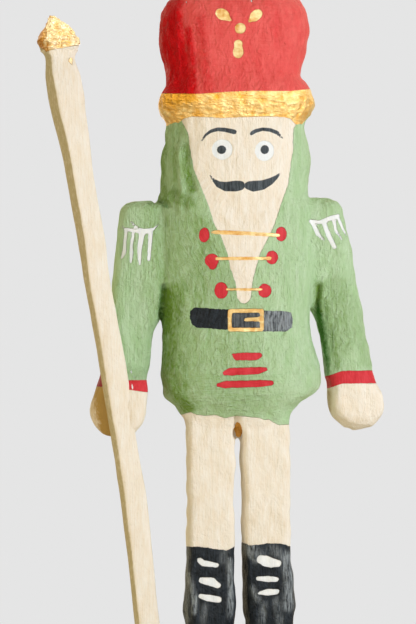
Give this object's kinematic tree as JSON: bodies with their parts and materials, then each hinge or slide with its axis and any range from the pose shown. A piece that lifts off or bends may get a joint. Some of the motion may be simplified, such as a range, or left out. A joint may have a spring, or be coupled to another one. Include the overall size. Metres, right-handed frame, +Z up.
{
  "type": "papier-mache figure",
  "caption": "Flat-fronted hand-painted papier-mache toy soldier in a tall hat, holding a long staff, standing on a low plinth.",
  "frame": {"origin": "middle of the plinth's underside, under the soldier's legs", "axes": "+Z up along the standing figure, -Y the way the soldier faces, +X towards his left arm"},
  "size_m": [0.3, 0.1298, 0.6303],
  "materials": {
    "green_coat_paint": "matte brushed paint on papier-mache",
    "cream_paint": "matte brushed paint on papier-mache",
    "green_plinth_paint": "matte brushed paint on board"
  },
  "bodies": {
    "root": {"figure": "green_coat_paint", "staff": "cream_paint", "plinth": "green_plinth_paint"}
  },
  "joints": []
}
